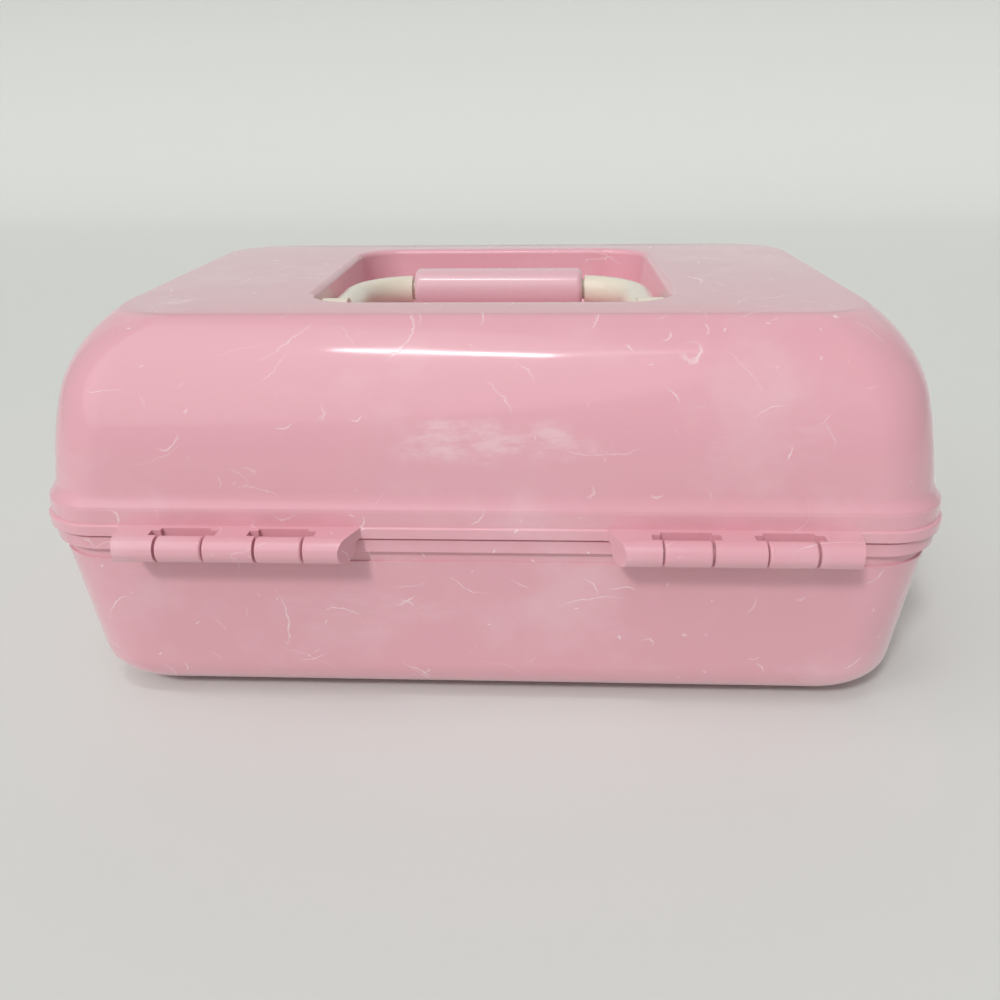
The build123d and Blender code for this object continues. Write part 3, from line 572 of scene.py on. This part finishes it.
def zinc_plated_steel(name, colour):
    """Bright zinc over pressed steel: a grey, slightly mottled mirror with a rolled grain, which is drawn
    coarser than it is so that it shows."""
    material, tree = new_material(name)
    place = add_node(tree, COORDS, output="Object")
    rolled = add_node(tree, MAPPING, sockets=dict(Vector=place, Scale=(1, 0.08, 1)))
    grain = add_node(tree, NOISE, sockets=dict(Vector=rolled, Scale=1 / (0.4 * MM), Detail=3))
    bump = add_node(tree, BUMP, sockets=dict(Height=grain, Strength=0.15, Distance=0.1 * MM))
    blotch = add_node(tree, NOISE, sockets=dict(Vector=place, Scale=1 / (11 * MM), Detail=4))
    mottle = add_node(tree, RANGE, blotch, 0.3, 0.7, 0.22, 0.42, **SMOOTH)
    finish = {"Base Color": list(colour), "Metallic": 1.0, "Roughness": mottle, "Normal": bump}
    add_node(tree, OUTPUT, add_node(tree, SURFACE, sockets=finish))
    return material


def silvered_glass(name):
    """Back-silvered float glass: a near-perfect mirror with the faintest green of the glass in front."""
    material, tree = new_material(name)
    place = add_node(tree, COORDS, output="Object")
    dust = add_node(tree, NOISE, sockets=dict(Vector=place, Scale=1 / (22 * MM), Detail=6))
    veil = add_node(tree, RANGE, dust, 0.4, 0.7, 0.01, 0.06, **SMOOTH)
    finish = {"Base Color": linear("#E6EDEA"), "Metallic": 1.0, "Roughness": veil}
    add_node(tree, OUTPUT, add_node(tree, SURFACE, sockets=finish))
    return material


def shared(name, maker, *values):
    """The named material, made once."""
    return bpy.data.materials.get(name) or maker(name, *values)


def shell_plastic():
    """The plastic of the two shells."""
    colours = bpy.context.scene.finish_colours
    return shared("gloss_moulded_polystyrene_pink", worn_gloss_plastic, colours.shell, colours.scuff)


# ---------------------------------------------------------------- shells
def rolled_lean(z, lean, roll, start_z, start_inset, top_z, turn):
    """Inset of a leaning wall that ends in a shoulder of radius roll, at height z."""
    arc_start = top_z - roll * (sin(turn) - sin(lean))
    straight = start_inset + (min(z, arc_start) - start_z) * tan(lean)
    if z <= arc_start:
        return straight
    rise = sin(lean) + (z - arc_start) / roll
    return straight + roll * (cos(lean) - sqrt(max(0.0, 1 - rise * rise)))


class CASE_OT_tub(bpy.types.Operator):
    """Models the tub: rolled lower edge, leaning walls and stepped rim"""

    bl_idname = "case.tub"
    bl_label = "Tub"

    def execute(self, context):
        s, t = context.scene.shell_sizes, context.scene.tub_sizes
        half_x, half_y = s.length / 2, s.depth / 2
        ledge = s.parting - t.band_height
        wall_top = ledge - t.step_height

        def wall_inset(z, skin):
            """Inset of the tub's wall at height z, for its outer or inner face."""
            arc = t.roll - skin
            arc_top = t.foot_height + skin + arc * (1 - sin(t.lean))
            straight = t.inset + skin + (wall_top - max(z, arc_top)) * tan(t.lean)
            if z >= arc_top:
                return straight
            rise = 1 - (z - t.foot_height - skin) / arc
            return straight + arc * (cos(t.lean) - sqrt(max(0.0, 1 - rise * rise)))

        def arc_levels(skin):
            """Heights that step evenly round the rolled lower edge."""
            arc, last = t.roll - skin, pi / 2 - t.lean
            turns = [last * n / s.arc_steps for n in range(s.arc_steps + 1)]
            return [t.foot_height + skin + arc * (1 - cos(turn)) for turn in turns]

        mesh = bmesh.new()
        levels = arc_levels(0)
        inset = wall_inset(levels[0], 0)
        ring = Ring(mesh, half_x - inset, half_y - inset, s.corner, levels[0], s.corner_steps)

        def go(inset, z, skin=0.0, soften=0.0):
            """Steps the ring to an inset and a height; soften is in millimetres."""
            ring.step(half_x - inset, half_y - inset, z, s.corner - skin, soften=soften * MM)

        for z in levels[1:] + [wall_top]:
            go(wall_inset(z, 0), z)
        go(t.step, wall_top, soften=0.3)
        go(t.step, ledge, soften=0.2)
        go(t.band, ledge, soften=1.0)
        go(t.band, s.parting, soften=0.5)
        go(t.band + s.wall, s.parting, s.wall, soften=0.4)
        go(t.band + s.wall, ledge + s.wall, s.wall, soften=0.6)
        go(t.inset + s.wall, ledge + s.wall, s.wall, soften=0.3)
        go(t.inset + s.wall, wall_top, s.wall, soften=0.5)
        for z in reversed(arc_levels(s.wall)):
            go(wall_inset(z, s.wall), z, s.wall)
        ring.close()
        tub = finished(mesh, "tub_shell", shell_plastic(), "base")
        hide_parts("lower_shell")
        return {"FINISHED"}


class CASE_OT_foot(bpy.types.Operator):
    """Models the ring that the tub stands on"""

    bl_idname = "case.foot"
    bl_label = "Foot ring"

    def execute(self, context):
        s, t = context.scene.shell_sizes, context.scene.tub_sizes
        mesh = bmesh.new()
        root = t.foot_height + s.wall / 2
        x, y, width = s.length / 2 - t.foot_inset, s.depth / 2 - t.foot_inset, t.foot_width
        ring = Ring(mesh, x, y, s.corner, root, s.corner_steps)
        bmesh.ops.delete(mesh, geom=[ring.cap], context="FACES_ONLY")
        ring.step(x, y, 0)
        ring.step(x - width, y - width, 0, s.corner - width, soften=1 * MM)
        ring.step(x - width, y - width, root, soften=1 * MM)
        ring.step(x, y, root, s.corner)
        ring.soften()
        finished(mesh, "foot_ring", shell_plastic(), "base")
        return {"FINISHED"}


class CASE_OT_hinge_barrels(bpy.types.Operator):
    """Models the tub's barrels, which turn in the aprons' windows, each on a strap from the rim"""

    bl_idname = "case.hinge_barrels"
    bl_label = "Hinge barrels"

    def execute(self, context):
        s, t, h = context.scene.shell_sizes, context.scene.tub_sizes, context.scene.hinge_sizes
        half = h.window_width / 2 - h.play
        ledge = s.parting - t.band_height
        band_root = s.depth / 2 - t.band - s.wall / 2
        step_root = s.depth / 2 - t.step - s.wall / 2
        under, strap_top = h.axis_z - h.barrel, s.parting - h.strap_drop
        gusset_foot, gusset_top = ledge - 3 * t.step_height / 4, ledge + s.wall / 2
        for end, side in (("left", 1), ("right", -1)):
            for place, x in (("inner", side * h.window_near), ("outer", side * h.window_far)):
                mesh = bmesh.new()
                rod(mesh, h.axis_y, h.axis_z, h.barrel, x - half, x + half, 48)
                rims = [e for e in mesh.edges if abs(e.verts[0].co.x - e.verts[1].co.x) < SAME_POINT]
                round_edges(mesh, rims, h.barrel_round)
                block(mesh, (x - half, band_root, under), (x + half, h.axis_y, strap_top))
                gusset = block(mesh, (x - half, step_root, gusset_foot), (x + half, h.axis_y, gusset_top))
                toe = [v for v in gusset if v.co.z < under and v.co.y > s.depth / 2]
                bmesh.ops.translate(mesh, vec=(0, 0, under + h.toe_rise - gusset_foot), verts=toe)
                rod(mesh, h.axis_y, h.axis_z, h.peg, x - half - h.peg_length, x + half + h.peg_length, 24)
                name = f"hinge_barrel_{end}_{place}"
                finished(weld(mesh), name, shell_plastic(), "base", h.barrel_bevel)
        return {"FINISHED"}


class CASE_OT_lid(bpy.types.Operator):
    """Models the lid: stepped rim, rolled shoulders, crease, flat top and handle recess"""

    bl_idname = "case.lid"
    bl_label = "Lid"

    def execute(self, context):
        s, lid, r = context.scene.shell_sizes, context.scene.lid_sizes, context.scene.recess_sizes
        half_x, half_y = s.length / 2, s.depth / 2
        bottom, band_top = s.parting + s.gap, s.parting + lid.band_height

        def insets(z, skin):
            """Insets of the lid's ends and of its front and back at height z."""
            rest = (band_top, lid.inset + skin, s.height - skin, lid.crease)
            ends = rolled_lean(z, lid.side_lean, lid.side_roll - skin, *rest)
            return ends, rolled_lean(z, lid.back_lean, lid.back_roll - skin, *rest)

        def shoulder_levels(skin):
            """Heights that step evenly round the larger shoulder."""
            roll, count = lid.back_roll - skin, 2 * s.arc_steps
            turns = [lid.back_lean + (lid.crease - lid.back_lean) * n / count for n in range(count + 1)]
            return [s.height - skin - roll * (sin(lid.crease) - sin(turn)) for turn in turns]

        def pocket(drop, skin):
            """Half sizes and corner radius of the recess at a depth below the top."""
            narrow = drop * tan(r.draft)
            return r.length / 2 - narrow + skin, r.depth / 2 - narrow + skin, r.corner - narrow + skin

        def recess_profile(skin):
            """Stations from the recess's floor up to the flat top."""
            fillet = r.floor_radius + skin
            floor_z = s.height - r.drop - skin
            x, y, radius = pocket(r.drop - r.floor_radius, skin)
            stations = []
            for n in range(r.steps + 1):
                turn = pi / 2 * n / r.steps
                back = fillet * (1 - sin(turn))
                stations.append((x - back, y - back, floor_z + fillet * (1 - cos(turn)), radius - back))
            if skin:
                x, y, radius = pocket(0, skin)
                return stations + [(x, y, s.height - skin, radius)]
            for n in range(r.steps + 1):
                turn = pi / 2 * n / r.steps
                grow, drop = r.lip_radius * (1 - cos(turn)), r.lip_radius * (1 - sin(turn))
                x, y, radius = pocket(drop, 0)
                stations.append((x + grow, y + grow, s.height - drop, radius + grow))
            return stations

        mesh = bmesh.new()
        first, *stations = recess_profile(0)
        ring = Ring(mesh, first[0], first[1], first[3], first[2], s.corner_steps, r.centre_y)
        for station in stations:
            ring.step(*station)

        def go(inset_x, inset_y, z, skin=0.0, soften=0.0):
            """Steps the ring to its insets and a height; soften is in millimetres."""
            ring.step(half_x - inset_x, half_y - inset_y, z, s.corner - skin, 0.0, soften * MM)

        for z in reversed(shoulder_levels(0)):
            go(*insets(z, 0), z)
        for n in range(s.arc_steps + 1):
            z = band_top + lid.flare * (1 - n / s.arc_steps)
            run_out = (lid.inset - lid.band) * (1 - cos(pi / 2 * n / s.arc_steps))
            side, back = insets(z, 0)
            go(side - run_out, back - run_out, z)
        lip_top = s.parting + lid.lip
        go(lid.band, lid.band, lip_top, soften=0.9)
        go(0, 0, lip_top, soften=0.15)
        go(0, 0, bottom, soften=0.7)
        inner, root, tip = lid.inset + s.wall, bottom + lid.tongue_depth, s.parting - lid.tongue_depth
        outer, tongue = lid.tongue, lid.tongue + lid.tongue_thickness
        go(outer, outer, bottom, s.wall, soften=0.35)
        go(outer, outer, tip, s.wall)
        go(tongue, tongue, tip, s.wall, soften=0.4)
        go(tongue, tongue, root, s.wall, soften=0.4)
        go(inner, inner, root, s.wall)
        for z in [band_top] + shoulder_levels(s.wall):
            go(*insets(z, s.wall), z, s.wall)
        for x, y, z, radius in reversed(recess_profile(s.wall)):
            ring.step(x, y, z, radius, r.centre_y)
        ring.close()
        shell = finished(mesh, "lid_shell", shell_plastic(), "lid")
        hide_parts("upper_shell")
        return {"FINISHED"}


class CASE_OT_hinge_aprons(bpy.types.Operator):
    """Models the lid's two hinge aprons with their windows and notches"""

    bl_idname = "case.hinge_aprons"
    bl_label = "Hinge aprons"

    def execute(self, context):
        s, lid, h = context.scene.shell_sizes, context.scene.lid_sizes, context.scene.hinge_sizes
        half_y = s.depth / 2
        root_y, tip_y = half_y - lid.band - s.wall / 2, h.axis_y + h.barrel
        top, low, reach = h.axis_z + h.barrel, h.axis_z - h.barrel, 4 * h.barrel
        for end, side in (("left", 1), ("right", -1)):
            x_low, x_high = sorted((side * h.inner_root, side * h.outer_root))
            mesh = bmesh.new()
            rod(mesh, h.axis_y, h.axis_z, h.barrel, x_low, x_high, 64)
            block(mesh, (x_low, root_y, top - h.slab), (x_high, h.axis_y - h.slab_back, top))
            cutter = bmesh.new()
            window_y = half_y + h.window_web
            notch_y = window_y + h.notch_offset
            half = h.window_width / 2
            for x in (side * h.window_near, side * h.window_far):
                block(cutter, (x - half, window_y, low - reach), (x + half, tip_y + reach, top + reach))
                wide = half + h.notch_width
                notch_end = notch_y + h.notch_depth
                block(cutter, (x - wide, notch_y, low - reach), (x + wide, notch_end, top + reach))
            apron = carve(weld(mesh), weld(cutter))
            # the apron's two ends draw in towards its barrel
            for vert in apron.verts:
                share = min(1.0, max(0.0, (vert.co.y - half_y) / (tip_y - half_y)))
                x = side * vert.co.x
                for at_root, at_tip in ((h.inner_root, h.inner_tip), (h.outer_root, h.outer_tip)):
                    if abs(x - at_root) < 10 * SAME_POINT:
                        vert.co.x = side * (at_root + (at_tip - at_root) * share)
            finished(apron, f"hinge_apron_{end}", shell_plastic(), "lid", h.apron_bevel)
        return {"FINISHED"}


class CASE_OT_lugs(bpy.types.Operator):
    """Models the lugs on the lid's front wall between which the latches hang"""

    bl_idname = "case.lugs"
    bl_label = "Latch lugs"

    def execute(self, context):
        s, lid, f = context.scene.shell_sizes, context.scene.lid_sizes, context.scene.fitting_sizes
        wall_y = -s.depth / 2 + lid.inset + s.wall / 2
        tall, half = 1.5 * f.lug, f.lug_width / 2
        for end, latch in (("left", f.latch_x), ("right", -f.latch_x)):
            for place, x in (("outer", latch + f.lug_spread), ("inner", latch - f.lug_spread)):
                mesh = bmesh.new()
                nose = rod(mesh, f.latch_y, f.latch_z, f.lug, x - half, x + half, 40)
                low = (x - half, wall_y - half / 2, f.latch_z - tall)
                base = block(mesh, low, (x + half, wall_y, f.latch_z + tall))
                wrap(mesh, nose + base)
                bore = bmesh.new()
                rod(bore, f.latch_y, f.latch_z, f.lug_bore, x - 2 * half, x + 2 * half, 24)
                lug = carve(mesh, bore)
                name = f"latch_lug_{end}_{place}"
                finished(lug, name, shell_plastic(), "lid", f.lug_bevel)
        return {"FINISHED"}


class CASE_OT_bosses(bpy.types.Operator):
    """Models the screw bosses inside both shells"""

    bl_idname = "case.bosses"
    bl_label = "Bosses"

    def execute(self, context):
        s, t, lid = context.scene.shell_sizes, context.scene.tub_sizes, context.scene.lid_sizes
        r, f = context.scene.recess_sizes, context.scene.fitting_sizes
        band_top = s.parting + lid.band_height

        def lid_wall(z):
            """The middle of the lid's end wall at height z."""
            rest = (band_top, lid.inset + s.wall / 2, s.height, lid.crease)
            return s.length / 2 - rolled_lean(z, lid.side_lean, lid.side_roll, *rest)

        tub_wall = s.length / 2 - t.inset - s.wall / 2
        places = (
            ("tub_boss", "base", t.boss_y, t.boss_z, f.stud_bore, tub_wall),
            ("lid_boss_low", "lid", f.low_y, f.low_z, f.screw_bore, lid_wall(f.low_z)),
            ("lid_boss_high", "lid", f.high_y, f.high_z, f.screw_bore, lid_wall(f.high_z)),
        )
        for end, side in (("left", 1), ("right", -1)):
            for name, body, y, z, bore, wall_x in places:
                mesh, hole = bmesh.new(), bmesh.new()
                rod(mesh, y, z, f.boss, *sorted((side * f.boss_face, side * wall_x)))
                deep = f.boss_face + f.boss_depth
                rod(hole, y, z, bore, *sorted((side * (f.boss_face - bore), side * deep)), 24)
                boss = carve(mesh, hole)
                finished(boss, f"{name}_{end}", shell_plastic(), body, f.boss_bevel)
            for place, y in (("rear", f.mirror_y), ("front", -f.mirror_y)):
                x, y = side * f.mirror_x, y + r.centre_y
                mesh, hole = bmesh.new(), bmesh.new()
                post(mesh, x, y, f.mirror_boss, f.mirror_z, s.height - s.wall / 2)
                post(hole, x, y, f.screw_bore, f.mirror_z - f.boss_depth, f.mirror_z + f.boss_depth, 24)
                boss = carve(mesh, hole)
                name = f"mirror_boss_{end}_{place}"
                finished(boss, name, shell_plastic(), "lid", f.boss_bevel)
        return {"FINISHED"}


class CASE_OT_finishes(bpy.types.Operator):
    """Gives the constructed pieces their real finishes"""

    bl_idname = "case.finishes"
    bl_label = "Finishes"

    def execute(self, context):
        colours = context.scene.finish_colours
        by_slot = {
            "shell_plastic": shell_plastic(),
            "grip_plastic": shared(
                "gloss_moulded_polystyrene_grip", worn_gloss_plastic, colours.grip, colours.scuff, 0.3, 0.3
            ),
            "cream_plastic": shared(
                "satin_moulded_polypropylene_cream",
                worn_gloss_plastic,
                colours.cream,
                colours.scuff,
                0.3,
                0.4,
            ),
            "tray_plastic": shared("matt_moulded_polystyrene_tray", plain_moulding, colours.tray, 0.42, 0.5),
            "divider_plastic": shared(
                "matt_moulded_polystyrene_divider", plain_moulding, colours.grip, 0.45, 0.5
            ),
            "steel": shared("zinc_plated_steel", zinc_plated_steel, colours.zinc),
            "mirror_glass": shared("silvered_glass", silvered_glass),
        }
        for part in frame["record"]["subparts"]:
            node = frame["nodes"][part["node"]]
            for slot in node.material_slots:
                slot.material = by_slot[part["material_slot"]]
        return {"FINISHED"}


# ---------------------------------------------------------------- stage
def aimed(name, kind, place, target, size, power):
    """A lamp at a place, turned to a target: an area lamp, its long side level, or a sun of some width."""
    light = bpy.data.lights.new(name, kind)
    light.energy = power
    if kind == "AREA":
        light.shape = "RECTANGLE"
        light.size, light.size_y = size
    else:
        light.angle = size
    lamp = bpy.data.objects.new(name, light)
    lamp.location = place
    lamp.rotation_euler = (Vector(target) - Vector(place)).to_track_quat("-Z", "Y").to_euler()
    bpy.context.collection.objects.link(lamp)
    return lamp


class CASE_OT_stage(bpy.types.Operator):
    """Sets the floor, the background, the soft lights and the camera"""

    bl_idname = "case.stage"
    bl_label = "Stage"

    def execute(self, context):
        colours, g = context.scene.finish_colours, context.scene.stage_settings
        # a floor that sweeps up into the backdrop
        mesh = bmesh.new()
        edge = bmesh.ops.create_grid(mesh, x_segments=1, y_segments=1, size=g.floor)["verts"]
        far = [v for v in edge if v.co.y < 0]
        bmesh.ops.translate(mesh, vec=(0, g.floor - g.bend_y, 0), verts=far)
        bend = bmesh.ops.spin(
            mesh,
            geom=far + [e for e in mesh.edges if set(e.verts) == set(far)],
            cent=(0, -g.bend_y, g.bend),
            axis=(1, 0, 0),
            angle=-pi / 2,
            steps=g.bend_steps,
            use_merge=False,
        )["geom_last"]
        bend = [e for e in bend if isinstance(e, bmesh.types.BMEdge)]
        rise = bmesh.ops.extrude_edge_only(mesh, edges=bend)["geom"]
        top = [v for v in rise if isinstance(v, bmesh.types.BMVert)]
        bmesh.ops.translate(mesh, vec=(0, 0, g.backdrop), verts=top)
        data = bpy.data.meshes.new("floor")
        mesh.to_mesh(data)
        mesh.free()
        for polygon in data.polygons:
            polygon.use_smooth = True
        floor = bpy.data.objects.new("floor", data)
        context.collection.objects.link(floor)
        # matt white paper, plain so that the case's own shadow is all that falls on it
        material, tree = new_material("pale_floor_paper")
        finish = {"Base Color": list(colours.floor), "Roughness": 0.9, "Specular IOR Level": 0.1}
        add_node(tree, OUTPUT, add_node(tree, SURFACE, sockets=finish))
        data.materials.append(material)

        world = bpy.data.worlds.new("studio")
        world.use_nodes = True
        tree = world.node_tree
        tree.nodes.clear()
        lit = add_node(tree, "ShaderNodeBackground", list(colours.background), g.world_strength)
        add_node(tree, "ShaderNodeOutputWorld", lit)
        context.scene.world = world

        # the key casts the hinges' shadow and is hidden from reflections, the fill is as wide as a bright
        # window, and the two long strips overhead draw the streak along the shoulder
        key = aimed("key", "SUN", (0.45, 1.0, 1.0), (0, 0, 0), radians(8), 1.25)
        key.visible_glossy = False
        aimed("fill", "SUN", (0.5, 0.6, 0.92), (0, 0, 0), radians(70), 0.8)
        aimed("strip", "AREA", (0.176, 0.62, 1.6), (0.02, 0.1, 0.14), (0.46, 0.05), 2.6)
        aimed("strip_far", "AREA", (-0.21, 0.62, 1.6), (-0.05, 0.1, 0.14), (0.3, 0.05), 0.12)

        # the photograph's viewing angle, behind the case and a little above it
        forward = Vector((-sin(g.yaw) * cos(g.pitch), -cos(g.yaw) * cos(g.pitch), -sin(g.pitch)))
        right = Vector((-cos(g.yaw), sin(g.yaw), 0))
        up = right.cross(forward)
        right, up = cos(g.roll) * right + sin(g.roll) * up, cos(g.roll) * up - sin(g.roll) * right
        camera = bpy.data.cameras.new("camera")
        camera.lens = g.lens
        camera.sensor_width = g.film
        view = bpy.data.objects.new("camera", camera)
        turned = Matrix((right, up, -forward)).transposed().to_4x4()
        view.matrix_world = Matrix.Translation((g.stand_x, g.stand_y, g.stand_z)) @ turned
        context.collection.objects.link(view)
        context.scene.camera = view
        context.scene.view_settings.view_transform = "Standard"
        return {"FINISHED"}


class CASE_PT_panel(bpy.types.Panel):
    """Lists the case's steps in the sidebar"""

    bl_idname = "CASE_PT_panel"
    bl_label = "Make-up Case"
    bl_space_type = "VIEW_3D"
    bl_region_type = "UI"
    bl_category = "Make-up Case"

    def draw(self, context):
        for step in STEPS:
            self.layout.operator(step.bl_idname)


STEPS = (
    CASE_OT_tub,
    CASE_OT_foot,
    CASE_OT_hinge_barrels,
    CASE_OT_lid,
    CASE_OT_hinge_aprons,
    CASE_OT_lugs,
    CASE_OT_bosses,
    CASE_OT_finishes,
    CASE_OT_stage,
)
GROUPS = {
    "shell_sizes": ShellSizes,
    "tub_sizes": TubSizes,
    "lid_sizes": LidSizes,
    "recess_sizes": RecessSizes,
    "hinge_sizes": HingeSizes,
    "fitting_sizes": FittingSizes,
    "stage_settings": StageSettings,
    "finish_colours": FinishColours,
}


def register():
    for cls in (*GROUPS.values(), *STEPS, CASE_PT_panel):
        bpy.utils.register_class(cls)
    for name, cls in GROUPS.items():
        setattr(bpy.types.Scene, name, PointerProperty(type=cls))


def unregister():
    for name in GROUPS:
        delattr(bpy.types.Scene, name)
    for cls in reversed((*GROUPS.values(), *STEPS, CASE_PT_panel)):
        bpy.utils.unregister_class(cls)


def main():
    register()
    for step in STEPS:
        group, name = step.bl_idname.split(".")
        getattr(getattr(bpy.ops, group), name)()


if __name__ == "__main__":
    main()
